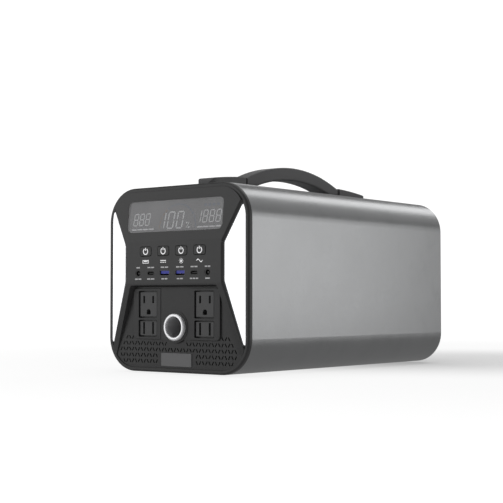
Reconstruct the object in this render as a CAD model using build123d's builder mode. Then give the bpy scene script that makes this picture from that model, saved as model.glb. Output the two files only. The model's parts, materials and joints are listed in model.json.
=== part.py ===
from build123d import *
from math import atan2, cos, sin
import os

# Portable power station: a rounded aluminium sleeve with a moulded front, a swing handle,
# two fans behind a vented rear cover, and the battery and inverter on a tray inside.
# Origin: centre of the underside's bounding box. +Z up, the front faces -Y.

# ---- driving dimensions, mm ----
BODY_W = 190.0
BODY_H = 191.0
CORNER_R = 35.5
WALL = 2.5
FOOT_H = 1.5
FRONT_Y = -183.0
REAR_Y = 189.0
MID_Y = (FRONT_Y + REAR_Y) / 2
BEZEL_DEPTH = 4.7
RIM_W = 4.2
GAP = 0.15

# front panel: its face line as (setback behind the rim, height over the case's underside)
WAIST_X = 67.0
WAIST_LOW = 93.0
WAIST_HIGH = 131.0
CREASE_Z = 134.5
WAIST_PROUD = 6.0
SLOPE_TOP_Z = 188.0
FACE_LINE = [(0, -2), (0, 20), (-WAIST_PROUD, 91), (-WAIST_PROUD, CREASE_Z), (0, SLOPE_TOP_Z), (0, 193)]
SHELL = 3.0
LENS_PROUD = 4.9
LENS_EDGE_X = BODY_W / 2 - RIM_W
LENS_ROUND = 1.8
BEVEL_W = 2.6
BEVEL_D = 1.3
SLEEVE_CHAMFER = 0.6

# display, buttons and ports
WINDOW_W = 129.6
WINDOW_H = 33.0
WINDOW_R = 6.0
WINDOW_MID = 25.8
BUTTON_X = {"usb_button": -36.75, "dc_button": -12.25, "light_button": 12.25, "ac_button": 36.75}
BUTTON_Z = 124.0
BUTTON_W = 15.8
BUTTON_H = 9.6
BUTTON_R = 2.4
BUTTON_GAP = 0.4
BUTTON_TRAVEL = 1.0
PORT_Z = 101.5
USB_A_X = 10.5
USB_C_X = 29.5
DC_JACK_X = 47.3
PORT_BOARD_TOP = 98.6

# recess, outlets, 12 V socket and badge
FLOOR_SETBACK = 1.0
FLOOR_T = 2.5
PLATE_X = 59.0
PLATE_LOW = 33.5
PLATE_HIGH = 86.0
PLATE_T = 1.8
PLATE_STEP_X = 20.5
PLATE_STEP = 0.4
OUTLET_X = 38.4
OUTLET_W = 23.0
OUTLET_FRAME = 1.5
GROUNDED_Z = (57.0, 82.0)
FLAT_Z = (37.5, 52.0)
OUTLET_SETBACK = 0.4
BLADE_PITCH = 12.7
SOCKET_Z = 46.5
SOCKET_R = 10.5
SOCKET_OUTER_R = 12.5
RING_R = 13.75
RING_PROUD = 3.5
SOCKET_DEPTH = 47.0
BADGE_W = 41.0
BADGE_H = 13.5
BADGE_Z = 13.25
VENT_PITCH = 4.2
VENT_SLOT = 1.25
VENT_SPAN = 3.2
VENT_TILT = 30.0
# rows of tilted vent slots: height, first and last slot either side of the middle
VENT_ROWS = [(11.0, 6, 17), (17.1, 6, 18), (23.2, 0, 18), (29.3, 3, 17), (35.4, 14, 16)]

# handle
HANDLE_Y = MID_Y + 3
HANDLE_RISE = 32.7
HANDLE_GAP = 18.0
HANDLE_TOP_R = 220.0
HANDLE_UNDER_R = 224.0
GRIP_W = 21.5
GRIP_HALF_L = 85.8
BRACKET_W = 23.0
BRACKET_START = 89.3
BRACKET_END = 147.0
BRACKET_HIGH = 15.6
BRACKET_NOSE = 11.2
BRACKET_SCREWS = (103.0, 134.0)
PIVOT_H = 11.2
PIN_R = 2.0
PIN_CLEARANCE = 0.05

# rear, fans and inner parts
CHANNEL_X = 80.0
CHANNEL_DZ = 80.5
CHANNEL_R = 4.5
SCREW_R = 1.95
HEAD_R = 3.6
HEAD_T = 2.0
SCREW_SEAT = ((HEAD_R + 0.1, HEAD_T), (SCREW_R + 0.2, 3.0))
COVER_T = 3.0
COVER_BACK = REAR_Y - 0.5
FAN_X = 43.0
FAN_Z = 112.0
FAN_SIZE = 80.0
FAN_DEPTH = 25.0
FAN_BORE_R = 38.0
HUB_R = 15.0
SHAFT_R = 1.5
CELL_R = 16.1
CELL_PITCH = 33.0
CELL_L = 70.0
CELL_COLUMNS = 5
CELL_ROWS = 4
CELL_Z0 = 43.0
BATTERY_Y = -105.0
TRAY_Z = 24.3

TOP_Z = FOOT_H + BODY_H
BODY_MID_Z = BODY_H / 2
SLOPE = atan2(WAIST_PROUD, SLOPE_TOP_Z - CREASE_Z)


# ---- shared planes and outlines ----
def face_plane(setback):
    """Front-parallel plane: local X is world X, local Y is height over the case's underside."""
    return Plane(origin=(0, FRONT_Y + setback, FOOT_H), x_dir=(1, 0, 0), z_dir=(0, -1, 0))


def slope_plane(depth):
    """Plane of the tilted display face, depth mm behind it, with its origin on the crease."""
    out = Vector(0, -cos(SLOPE), sin(SLOPE))
    crease = Vector(0, FRONT_Y - WAIST_PROUD, FOOT_H + CREASE_Z)
    return Plane(origin=crease - out * depth, x_dir=(1, 0, 0), z_dir=out)


def axis_plane(x, y, z):
    """Plane at one point, facing the front."""
    return Plane(origin=(x, y, z), x_dir=(1, 0, 0), z_dir=(0, -1, 0))


def case_outline(inset, mode=Mode.ADD):
    with Locations((0, BODY_MID_Z)):
        RectangleRounded(BODY_W - 2 * inset, BODY_H - 2 * inset, CORNER_R - inset, mode=mode)


def screw_circles(radius, mode=Mode.ADD):
    """One circle at each of the sleeve's four screw channels."""
    with Locations((0, BODY_MID_Z)):
        with GridLocations(2 * CHANNEL_X, 2 * CHANNEL_DZ, 2, 2):
            Circle(radius, mode=mode)


def lens_wedge(side, grow, mode=Mode.ADD):
    """Region outside the waist's edge line on one side, moved grow mm towards the middle."""
    waist = side * (WAIST_X - grow)
    high = side * (WAIST_X + 28 - grow)
    low = side * (WAIST_X + 29.4 - grow)
    far = side * BODY_W
    points = [(waist, WAIST_LOW), (waist, WAIST_HIGH), (high, WAIST_HIGH + 53.2)]
    points += [(far, WAIST_HIGH + 53.2), (far, WAIST_LOW - 89.6), (low, WAIST_LOW - 89.6)]
    Polygon(*points, align=None, mode=mode)


def hourglass_outline(inset, grow):
    case_outline(inset)
    for side in (-1, 1):
        lens_wedge(side, grow, Mode.SUBTRACT)


def lens_outline(side, inset):
    case_outline(RIM_W + GAP + inset)
    lens_wedge(side, -inset, Mode.INTERSECT)


def face_section(shift):
    """Side section from the panel's face line, shift mm inside it, back to the frame's plate."""
    line = [(FRONT_Y + setback + shift, FOOT_H + height) for setback, height in FACE_LINE]
    back = FRONT_Y + BEZEL_DEPTH
    Polygon(*line, (back, FOOT_H + BODY_H + 2), (back, FOOT_H - 2), align=None)


def floor_outline(grow_x, grow_z, trim=0.0):
    """The recess floor's outline: a trapezoid whose sides spread towards the bottom."""
    top = 87.5 + grow_z - trim
    x_top = 57.5 + grow_x - trim
    x_low = 91.8 + grow_x - trim
    Polygon((-x_top, top), (x_top, top), (x_low, -3), (-x_low, -3), align=None)


def save(piece, name):
    piece.part.label = name
    export_step(piece.part, f"parts/{name}.step")


# ---- case ----
def make_sleeve():
    front = FRONT_Y + BEZEL_DEPTH
    with BuildPart() as sleeve:
        with BuildSketch(face_plane(REAR_Y - FRONT_Y)):
            case_outline(0)
            case_outline(WALL, Mode.SUBTRACT)
            screw_circles(CHANNEL_R)
            screw_circles(SCREW_R, Mode.SUBTRACT)
        extrude(amount=REAR_Y - front)
        for end_face in (sleeve.faces().sort_by(Axis.Y)[0], sleeve.faces().sort_by(Axis.Y)[-1]):
            chamfer(end_face.outer_wire().edges(), SLEEVE_CHAMFER)
        # the screw channels stop short of both ends, where the frame and the cover sit
        with BuildSketch(face_plane(REAR_Y - FRONT_Y)):
            case_outline(WALL)
        extrude(amount=REAR_Y - COVER_BACK + COVER_T, mode=Mode.SUBTRACT)
        with BuildSketch(face_plane(BEZEL_DEPTH + SHELL)):
            case_outline(WALL)
        extrude(amount=SHELL, mode=Mode.SUBTRACT)
        with BuildSketch(Plane.XY.offset(TOP_Z)):
            with Locations((0, HANDLE_Y)):
                for reach in BRACKET_SCREWS:
                    with GridLocations(0, 2 * reach, 1, 2):
                        Circle(2.6)
        extrude(amount=-2 * WALL, mode=Mode.SUBTRACT)
    save(sleeve, "sleeve")


def make_front_frame():
    with BuildPart() as frame:
        with BuildSketch(face_plane(BEZEL_DEPTH)):
            case_outline(0)
            case_outline(RIM_W, Mode.SUBTRACT)
        extrude(amount=BEZEL_DEPTH)
        front_edges = frame.faces().sort_by(Axis.Y)[0].outer_wire().edges()
        fillet(front_edges, 2.0)
        with BuildSketch(face_plane(BEZEL_DEPTH + SHELL)):
            case_outline(WALL + 0.3)
        extrude(amount=SHELL)
        with BuildSketch(face_plane(BEZEL_DEPTH + 12)):
            case_outline(WALL + 0.3)
            case_outline(WALL + 2.8, Mode.SUBTRACT)
        extrude(amount=12)
        with BuildSketch(face_plane(BEZEL_DEPTH + 7)):
            case_outline(WALL)
            case_outline(WALL + 1.5, Mode.SUBTRACT)
        extrude(amount=2, mode=Mode.SUBTRACT)
        with BuildSketch(face_plane(BEZEL_DEPTH + SHELL)):
            hourglass_outline(RIM_W + 5, 5)
        extrude(amount=SHELL, mode=Mode.SUBTRACT)
        with BuildSketch(face_plane(BEZEL_DEPTH + 12)):
            screw_circles(CHANNEL_R + 0.4)
        extrude(amount=12 - SHELL, mode=Mode.SUBTRACT)
        for radius, depth in SCREW_SEAT:
            with BuildSketch(face_plane(BEZEL_DEPTH)):
                screw_circles(radius)
            extrude(amount=-depth, mode=Mode.SUBTRACT)
    save(frame, "front_frame")


def make_seals():
    """Rubber seals in the grooves of the front frame and the rear cover."""
    with BuildPart() as seals:
        for setback in (BEZEL_DEPTH + 6.9, COVER_BACK - COVER_T - 3.1 - FRONT_Y):
            with BuildSketch(face_plane(setback)):
                case_outline(WALL + 0.05)
                case_outline(WALL + 1.4, Mode.SUBTRACT)
                screw_circles(CHANNEL_R + 0.2, Mode.SUBTRACT)
            extrude(amount=1.8)
    save(seals, "case_seals")


def make_edge_bevels():
    """Cutter for the bevels along the panel's two side edges, from its foot to its top corners."""
    foot = (WAIST_X + 29.4, WAIST_LOW - 89.6, 0)
    low = (WAIST_X, WAIST_LOW, -WAIST_PROUD)
    high = (WAIST_X, WAIST_HIGH, -WAIST_PROUD)
    top = (WAIST_X + 28, WAIST_HIGH + 53.2, 0)
    with BuildPart() as bevels:
        for start, end in ((foot, low), (low, high), (high, top)):
            start_point = Vector(start[0] - GAP, FRONT_Y + start[2], FOOT_H + start[1])
            end_point = Vector(end[0] - GAP, FRONT_Y + end[2], FOOT_H + end[1])
            along = (end_point - start_point).normalized()
            inward = Vector(-along.Z, 0, along.X)
            with BuildSketch(Plane(origin=start_point, x_dir=inward, z_dir=along)):
                Polygon((BEVEL_W, 0), (0, -BEVEL_D), (-2, -BEVEL_D), (-2, 4), (BEVEL_W, 4), align=None)
            extrude(amount=(end_point - start_point).length)
        mirror(about=Plane.YZ)
    return bevels.part


def make_front_panel():
    with BuildPart() as hollow:
        with BuildSketch(Plane.YZ):
            face_section(SHELL)
        extrude(amount=BODY_W / 2, both=True)
        with BuildSketch(face_plane(BEZEL_DEPTH)):
            hourglass_outline(RIM_W + GAP + 2.5, 2.5 + 2 * GAP)
            with Locations((0, WAIST_LOW + 2)):
                Rectangle(BODY_W, BODY_H, align=(Align.CENTER, Align.MIN), mode=Mode.INTERSECT)
        extrude(amount=20, mode=Mode.INTERSECT)
    with BuildPart() as recess:
        with BuildSketch(face_plane(FLOOR_SETBACK)) as floor:
            floor_outline(0, 0)
            fillet(floor.vertices().group_by(Axis.Y)[-1], 4)
        with BuildSketch(face_plane(FLOOR_SETBACK - 10)) as mouth:
            floor_outline(2, 2.5)
            fillet(mouth.vertices().group_by(Axis.Y)[-1], 5)
        loft()
        with BuildSketch(face_plane(BEZEL_DEPTH + 1)) as back:
            floor_outline(0, 0)
            fillet(back.vertices().group_by(Axis.Y)[-1], 4)
        extrude(amount=BEZEL_DEPTH + 1 - FLOOR_SETBACK)
    with BuildPart() as panel:
        with BuildSketch(Plane.YZ):
            face_section(0)
        extrude(amount=BODY_W / 2, both=True)
        with BuildSketch(face_plane(BEZEL_DEPTH)) as outline:
            hourglass_outline(RIM_W + GAP, GAP)
            corners = outline.vertices().filter_by(lambda v: abs(abs(v.X) - WAIST_X) < 1)
            fillet(corners, 4)
        extrude(amount=20, mode=Mode.INTERSECT)
        add(hollow.part, mode=Mode.SUBTRACT)
        add(recess.part, mode=Mode.SUBTRACT)
        add(make_edge_bevels(), mode=Mode.SUBTRACT)
        with BuildSketch(slope_plane(0)):
            with Locations((0, WINDOW_MID)):
                RectangleRounded(WINDOW_W, WINDOW_H, WINDOW_R)
        extrude(amount=-1.6, mode=Mode.SUBTRACT)
        with BuildSketch(slope_plane(0)):
            with Locations((0, WINDOW_MID)):
                RectangleRounded(WINDOW_W - 3, WINDOW_H - 3, WINDOW_R - 1.5)
        extrude(amount=-SHELL - 1, mode=Mode.SUBTRACT)
        with BuildSketch(face_plane(-WAIST_PROUD)):
            with Locations(*[(x, BUTTON_Z) for x in BUTTON_X.values()]):
                RectangleRounded(BUTTON_W + 2 * BUTTON_GAP, BUTTON_H + 2 * BUTTON_GAP, BUTTON_R + BUTTON_GAP)
            for side in (-1, 1):
                with Locations((side * USB_A_X, PORT_Z)):
                    RectangleRounded(13.5, 6.0, 0.6)
                with Locations((side * USB_C_X, PORT_Z)):
                    RectangleRounded(9.6, 3.9, 1.9)
                with Locations((side * DC_JACK_X, PORT_Z)):
                    Circle(3.9)
        extrude(amount=-SHELL - 1, mode=Mode.SUBTRACT)
    save(panel, "front_panel")


def vent_centres(leaning):
    """Centres of the vent slots whose tops lean right (1) or left (-1); neighbours alternate."""
    centres = []
    for row, (height, first, last) in enumerate(VENT_ROWS):
        for index in range(first, last + 1):
            reach = (index + 0.5) * VENT_PITCH
            lean = 1 if (index + row) % 2 else -1
            centres.append((reach if lean == leaning else -reach, height))
    return centres


def make_vent_panel():
    with BuildPart() as panel:
        with BuildSketch(face_plane(FLOOR_SETBACK + FLOOR_T)) as outline:
            floor_outline(0, 0, 0.1)
            fillet(outline.vertices().group_by(Axis.Y)[-1], 4)
            case_outline(RIM_W + GAP, Mode.INTERSECT)
        extrude(amount=FLOOR_T)
        with BuildSketch(face_plane(FLOOR_SETBACK)):
            outlet_openings()
            for leaning in (-1, 1):
                with Locations(*vent_centres(leaning)):
                    SlotCenterToCenter(VENT_SPAN, VENT_SLOT, rotation=90 - leaning * VENT_TILT)
        extrude(amount=-FLOOR_T, mode=Mode.SUBTRACT)
    save(panel, "vent_panel")


def outlet_openings():
    """Openings that the outlet faces and the 12 V socket pass through."""
    for side in (-1, 1):
        for low, high in (GROUNDED_Z, FLAT_Z):
            with Locations((side * OUTLET_X, (low + high) / 2)):
                RectangleRounded(OUTLET_W + 2 * OUTLET_FRAME, high - low + 2 * OUTLET_FRAME, 1.0)
    with Locations((0, SOCKET_Z)):
        Circle(SOCKET_OUTER_R + 0.2)


def make_outlet_plate():
    with BuildPart() as plate:
        with BuildSketch(face_plane(FLOOR_SETBACK)) as outline:
            with Locations((0, PLATE_LOW)):
                Rectangle(2 * PLATE_X, PLATE_HIGH - PLATE_LOW, align=(Align.CENTER, Align.MIN))
            fillet(outline.vertices(), 5)
            with Locations((0, SOCKET_Z)):
                Circle(16.5)
        extrude(amount=PLATE_T)
        front_edges = plate.faces().sort_by(Axis.Y)[0].outer_wire().edges()
        fillet(front_edges, 0.6)
        with BuildSketch(face_plane(FLOOR_SETBACK - PLATE_T)):
            with Locations((0, (PLATE_LOW + PLATE_HIGH) / 2)):
                Rectangle(2 * PLATE_STEP_X, 2 * PLATE_X)
            with Locations((0, SOCKET_Z)):
                Circle(16.5, mode=Mode.SUBTRACT)
        extrude(amount=-PLATE_STEP, mode=Mode.SUBTRACT)
        with BuildSketch(face_plane(FLOOR_SETBACK - PLATE_T)):
            outlet_openings()
        extrude(amount=-PLATE_T, mode=Mode.SUBTRACT)
    save(plate, "outlet_plate")


# ---- lights ----
def lens_section(side, shift):
    """Plan section from the slanted lens face, shift mm inside it, back to the frame's plate."""
    slant = LENS_PROUD / (LENS_EDGE_X - WAIST_X)
    inner = WAIST_X - 2
    outer = LENS_EDGE_X + 2
    y_inner = FRONT_Y - LENS_PROUD - 2 * slant + shift
    y_outer = FRONT_Y + 2 * slant + shift
    back = FRONT_Y + BEZEL_DEPTH
    Polygon((side * inner, y_inner), (side * outer, y_outer), (side * outer, back), (side * inner, back), align=None)


def lens_corners(outline, radius):
    """Round the two sharp tips of a lens outline."""
    ordered = outline.vertices().sort_by(Axis.Y)
    fillet([ordered[0], ordered[-1]], radius)


def make_light_lens(side, name):
    with BuildPart() as hollow:
        with BuildSketch(Plane.XY.offset(FOOT_H)):
            lens_section(side, 2.6)
        extrude(amount=BODY_H)
        with BuildSketch(face_plane(BEZEL_DEPTH)):
            lens_outline(side, 2.2)
        extrude(amount=20, mode=Mode.INTERSECT)
    with BuildPart() as lens:
        with BuildSketch(Plane.XY.offset(FOOT_H)):
            lens_section(side, 0)
        extrude(amount=BODY_H)
        with BuildSketch(face_plane(BEZEL_DEPTH)) as outline:
            lens_outline(side, 0.05)
            lens_corners(outline, 1.5)
            waist = outline.vertices().filter_by(lambda v: abs(abs(v.X) - WAIST_X) < 1)
            fillet(waist, 4)
        extrude(amount=20, mode=Mode.INTERSECT)
        face = lens.faces().sort_by(Axis.Y)[0]
        fillet(face.outer_wire().edges(), LENS_ROUND)
        add(hollow.part, mode=Mode.SUBTRACT)
    save(lens, name)


def make_light_boards():
    """A strip of light-emitting diodes on a board behind each lens."""
    with BuildPart() as boards:
        for side in (-1, 1):
            with BuildSketch(face_plane(BEZEL_DEPTH - 0.05)):
                lens_outline(side, 3.5)
            extrude(amount=1.2)
            with BuildSketch(face_plane(BEZEL_DEPTH - 1.25)):
                with Locations((side * 84.2, 104)):
                    with GridLocations(0, 10, 1, 10):
                        Rectangle(2.8, 2.8)
                with Locations((side * 75, 112)):
                    with GridLocations(0, 10, 1, 4):
                        Rectangle(2.8, 2.8)
            extrude(amount=0.8)
    save(boards, "light_boards")


# ---- display and buttons ----
def make_display():
    with BuildPart() as window:
        with BuildSketch(slope_plane(1.5)):
            with Locations((0, WINDOW_MID)):
                RectangleRounded(WINDOW_W - 0.3, WINDOW_H - 0.3, WINDOW_R - 0.15)
        extrude(amount=1.4)
    save(window, "display_window")
    with BuildPart() as module:
        with BuildSketch(slope_plane(7.1)):
            with Locations((0, WINDOW_MID)):
                RectangleRounded(WINDOW_W - 4, WINDOW_H - 4, WINDOW_R - 2)
        extrude(amount=5.5)
    save(module, "display_module")
    with BuildPart() as board:
        with BuildSketch(slope_plane(8.8)):
            with Locations((0, WINDOW_MID)):
                Rectangle(WINDOW_W + 2, WINDOW_H + 5)
        extrude(amount=1.6)
        with BuildSketch(slope_plane(8.8)):
            with Locations((0, WINDOW_MID)):
                with GridLocations(24, 14, 5, 2):
                    Rectangle(8, 6)
        extrude(amount=-1.5)
    save(board, "display_board")


def make_button(name, x):
    with BuildPart() as button:
        with BuildSketch(face_plane(-WAIST_PROUD + SHELL + 0.35)):
            with Locations((x, BUTTON_Z)):
                RectangleRounded(BUTTON_W, BUTTON_H, BUTTON_R)
        extrude(amount=SHELL + 0.6)
        front_edges = button.faces().sort_by(Axis.Y)[0].outer_wire().edges()
        fillet(front_edges, 0.5)
        with BuildSketch(face_plane(-WAIST_PROUD + SHELL + 0.35)):
            with Locations((x, BUTTON_Z)):
                RectangleRounded(BUTTON_W + 2.6, BUTTON_H + 2.6, BUTTON_R + 1)
        extrude(amount=-1.2)
        with BuildSketch(face_plane(-WAIST_PROUD + SHELL + 1.5)):
            with Locations((x, BUTTON_Z)):
                Circle(2)
        extrude(amount=-2.5)
    save(button, name)


def make_control_board():
    board_front = 6.5
    with BuildPart() as board:
        with BuildSketch(face_plane(board_front + 1.6)):
            with Locations((0, 121.5)):
                Rectangle(116, 23)
        extrude(amount=1.6)
    save(board, "control_board")
    with BuildPart() as switches:
        with BuildSketch(face_plane(board_front)):
            with Locations(*[(x, BUTTON_Z) for x in BUTTON_X.values()]):
                Rectangle(6, 6)
        extrude(amount=3.5)
        with BuildSketch(face_plane(board_front - 3.5)):
            with Locations(*[(x, BUTTON_Z) for x in BUTTON_X.values()]):
                Circle(1.7)
        extrude(amount=0.7)
    save(switches, "button_switches")


# ---- ports ----
def make_port_board():
    with BuildPart() as board:
        with BuildSketch(Plane.XY.offset(FOOT_H + PORT_BOARD_TOP - 1.6)):
            with Locations((0, FRONT_Y - 2.4)):
                Rectangle(114, 44, align=(Align.CENTER, Align.MIN))
        extrude(amount=1.6)
        with BuildSketch(Plane.XY.offset(FOOT_H + PORT_BOARD_TOP)):
            with Locations((0, FRONT_Y + 30)):
                with GridLocations(26, 0, 4, 1):
                    Rectangle(12, 12)
        extrude(amount=6)
    save(board, "port_board")


def make_usb_a_port(side, name):
    front = -WAIST_PROUD + 0.2
    depth = 14.0
    with BuildPart() as shell:
        with BuildSketch(face_plane(front + depth)):
            with Locations((side * USB_A_X, PORT_Z)):
                RectangleRounded(13.2, 5.7, 0.5)
        extrude(amount=depth)
        with BuildSketch(face_plane(front + depth - 1)):
            with Locations((side * USB_A_X, PORT_Z)):
                RectangleRounded(12.4, 4.9, 0.3)
        extrude(amount=depth, mode=Mode.SUBTRACT)
    save(shell, name)


def make_usb_a_tongues():
    front = -WAIST_PROUD + 1.2
    with BuildPart() as tongues:
        with BuildSketch(face_plane(7.2)):
            with Locations((0, PORT_Z + 0.75)):
                with GridLocations(2 * USB_A_X, 0, 2, 1):
                    Rectangle(11.4, 3.0)
        extrude(amount=7.2 - front)
    save(tongues, "usb_a_tongues")


def make_usb_c_port(side, name):
    front = -WAIST_PROUD + 0.2
    depth = 9.0
    with BuildPart() as shell:
        with BuildSketch(face_plane(front + depth)):
            with Locations((side * USB_C_X, PORT_Z)):
                RectangleRounded(9.2, 3.5, 1.7)
        extrude(amount=depth)
        with BuildSketch(face_plane(front + depth - 1)):
            with Locations((side * USB_C_X, PORT_Z)):
                RectangleRounded(8.6, 2.9, 1.4)
        extrude(amount=depth, mode=Mode.SUBTRACT)
        with BuildSketch(face_plane(front + depth - 1)):
            with Locations((side * USB_C_X, PORT_Z)):
                Rectangle(6.6, 0.7)
        extrude(amount=depth - 2)
        with BuildSketch(face_plane(front + depth)):
            with Locations((side * USB_C_X, PORT_Z)):
                Rectangle(8, 2 * (PORT_Z - PORT_BOARD_TOP))
        extrude(amount=3)
    save(shell, name)


def make_dc_jacks():
    front = -WAIST_PROUD + 0.2
    with BuildPart() as jacks:
        for side in (-1, 1):
            with BuildSketch(face_plane(front + SHELL)):
                with Locations((side * DC_JACK_X, PORT_Z)):
                    Circle(3.8)
            extrude(amount=SHELL)
            with BuildSketch(face_plane(10)):
                with Locations((side * DC_JACK_X, PORT_BOARD_TOP)):
                    Rectangle(9.5, 8, align=(Align.CENTER, Align.MIN))
            extrude(amount=10 - front - SHELL)
            with BuildSketch(face_plane(8)):
                with Locations((side * DC_JACK_X, PORT_Z)):
                    Circle(2.75)
            extrude(amount=20, mode=Mode.SUBTRACT)
            with BuildSketch(face_plane(8)):
                with Locations((side * DC_JACK_X, PORT_Z)):
                    Circle(1.05)
            extrude(amount=8 - front - 1)
    save(jacks, "dc_jacks")


# ---- outlets and 12 V socket ----
def make_outlet(side, name, low, high, grounded):
    centre = side * OUTLET_X
    middle = (low + high) / 2
    slot_z = 74.5 if grounded else middle + 0.25
    slot_size = (2.5, 7.6) if grounded else (2.6, 12.5)
    flange_front = FLOOR_SETBACK + FLOOR_T + 0.1
    blades = [(centre - BLADE_PITCH / 2, slot_z), (centre + BLADE_PITCH / 2, slot_z)]
    with BuildPart() as outlet:
        with BuildSketch(face_plane(22)):
            with Locations((centre, middle)):
                RectangleRounded(OUTLET_W, high - low, 0.6)
        extrude(amount=22 - OUTLET_SETBACK)
        with BuildSketch(face_plane(flange_front + 1.5)):
            with Locations((centre, middle)):
                Rectangle(OUTLET_W + 4, high - low + 3.4)
        extrude(amount=1.5)
        with BuildSketch(face_plane(OUTLET_SETBACK)):
            with Locations(*blades):
                Rectangle(*slot_size)
            if grounded:
                with Locations((centre, 61.8)):
                    Circle(2.8)
                with Locations((centre, 60.4)):
                    Rectangle(5.6, 2.2)
        extrude(amount=-16, mode=Mode.SUBTRACT)
        with BuildSketch(face_plane(18)):
            with Locations(*blades):
                Rectangle(4.4, slot_size[1] + 1)
        extrude(amount=13, mode=Mode.SUBTRACT)
    save(outlet, name)


def make_outlet_contacts():
    with BuildPart() as contacts:
        with BuildSketch(face_plane(17)):
            for side in (-1, 1):
                for slot_z, height in ((74.5, 6.4), (45.0, 8.0)):
                    with Locations((side * OUTLET_X, slot_z)):
                        with GridLocations(BLADE_PITCH, 0, 2, 1):
                            with GridLocations(2.9, 0, 2, 1):
                                Rectangle(0.6, height)
        extrude(amount=10)
    save(contacts, "outlet_contacts")


def make_car_socket():
    ring_back = FLOOR_SETBACK - PLATE_T
    with BuildPart() as ring:
        with BuildSketch(face_plane(ring_back)):
            with Locations((0, SOCKET_Z)):
                Circle(RING_R)
                Circle(SOCKET_R, mode=Mode.SUBTRACT)
        extrude(amount=RING_PROUD)
        front_face = ring.faces().sort_by(Axis.Y)[0]
        fillet(front_face.outer_wire().edges(), 1.4)
        bore_edges = ring.edges().filter_by(lambda e: e.geom_type == GeomType.CIRCLE and e.radius == SOCKET_R)
        fillet(bore_edges.sort_by(Axis.Y)[0], 0.8)
    save(ring, "car_socket_ring")
    with BuildPart() as tube:
        with BuildSketch(face_plane(ring_back + SOCKET_DEPTH)):
            with Locations((0, SOCKET_Z)):
                Circle(SOCKET_OUTER_R)
        extrude(amount=SOCKET_DEPTH)
        with BuildSketch(face_plane(ring_back)):
            with Locations((0, SOCKET_Z)):
                Circle(SOCKET_R)
        extrude(amount=-SOCKET_DEPTH + 3, mode=Mode.SUBTRACT)
        with BuildSketch(face_plane(ring_back + SOCKET_DEPTH)):
            with Locations((0, SOCKET_Z)):
                Circle(2.5)
        extrude(amount=5, mode=Mode.SUBTRACT)
    save(tube, "car_socket")
    with BuildPart() as contact:
        with BuildSketch(face_plane(ring_back + SOCKET_DEPTH + 4)):
            with Locations((0, SOCKET_Z)):
                Circle(2.45)
        extrude(amount=6.5)
    save(contact, "car_socket_contact")
    with BuildPart() as nut:
        with BuildSketch(face_plane(FLOOR_SETBACK + FLOOR_T + 5)):
            with Locations((0, SOCKET_Z)):
                RegularPolygon(18, 6)
                Circle(SOCKET_OUTER_R + 0.05, mode=Mode.SUBTRACT)
        extrude(amount=5)
    save(nut, "car_socket_nut")


def make_badge():
    with BuildPart() as badge:
        with BuildSketch(face_plane(FLOOR_SETBACK)):
            with Locations((0, BADGE_Z)):
                RectangleRounded(BADGE_W, BADGE_H, 0.8)
        extrude(amount=0.8)
        front_edges = badge.faces().sort_by(Axis.Y)[0].outer_wire().edges()
        fillet(front_edges, 0.3)
    save(badge, "badge_plate")


# ---- handle ----
def grip_edge(rise, radius):
    """Ends and middle of one edge of the arched grip, as (y, z)."""
    drop = radius - (radius ** 2 - GRIP_HALF_L ** 2) ** 0.5
    low = TOP_Z + rise - drop
    return [(HANDLE_Y - GRIP_HALF_L, low), (HANDLE_Y, TOP_Z + rise), (HANDLE_Y + GRIP_HALF_L, low)]


def make_handle():
    pivot_z = TOP_Z + PIVOT_H
    with BuildPart() as sweep_room:
        with BuildSketch(Plane.XZ.offset(-HANDLE_Y - GRIP_HALF_L)):
            with Locations((0, pivot_z)):
                Circle(PIVOT_H - 0.4)
                Rectangle(GRIP_W, 60, align=(Align.CENTER, Align.MIN))
        extrude(amount=2 * GRIP_HALF_L)
    with BuildPart() as grip:
        with BuildSketch(Plane.YZ):
            upper = grip_edge(HANDLE_RISE, HANDLE_TOP_R)
            lower = grip_edge(HANDLE_GAP, HANDLE_UNDER_R)
            with BuildLine():
                ThreePointArc(*upper)
                ThreePointArc(*lower)
                Line(upper[0], lower[0])
                Line(upper[2], lower[2])
            make_face()
        extrude(amount=GRIP_W / 2, both=True)
        long_edges = grip.edges().filter_by(lambda e: e.length > GRIP_HALF_L)
        fillet(long_edges, 2.2)
        add(sweep_room.part, mode=Mode.INTERSECT)
        for end in (-1, 1):
            with BuildSketch(axis_plane(0, HANDLE_Y + end * GRIP_HALF_L, pivot_z)):
                Circle(PIN_R + PIN_CLEARANCE)
            extrude(amount=end * 11, mode=Mode.SUBTRACT)
    save(grip, "handle_grip")
    with BuildPart() as pins:
        for end in (-1, 1):
            with BuildSketch(axis_plane(0, HANDLE_Y + end * (BRACKET_START + 14), pivot_z)):
                Circle(PIN_R)
            extrude(amount=end * (14 + BRACKET_START - GRIP_HALF_L + 10))
    save(pins, "handle_pins")


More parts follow.
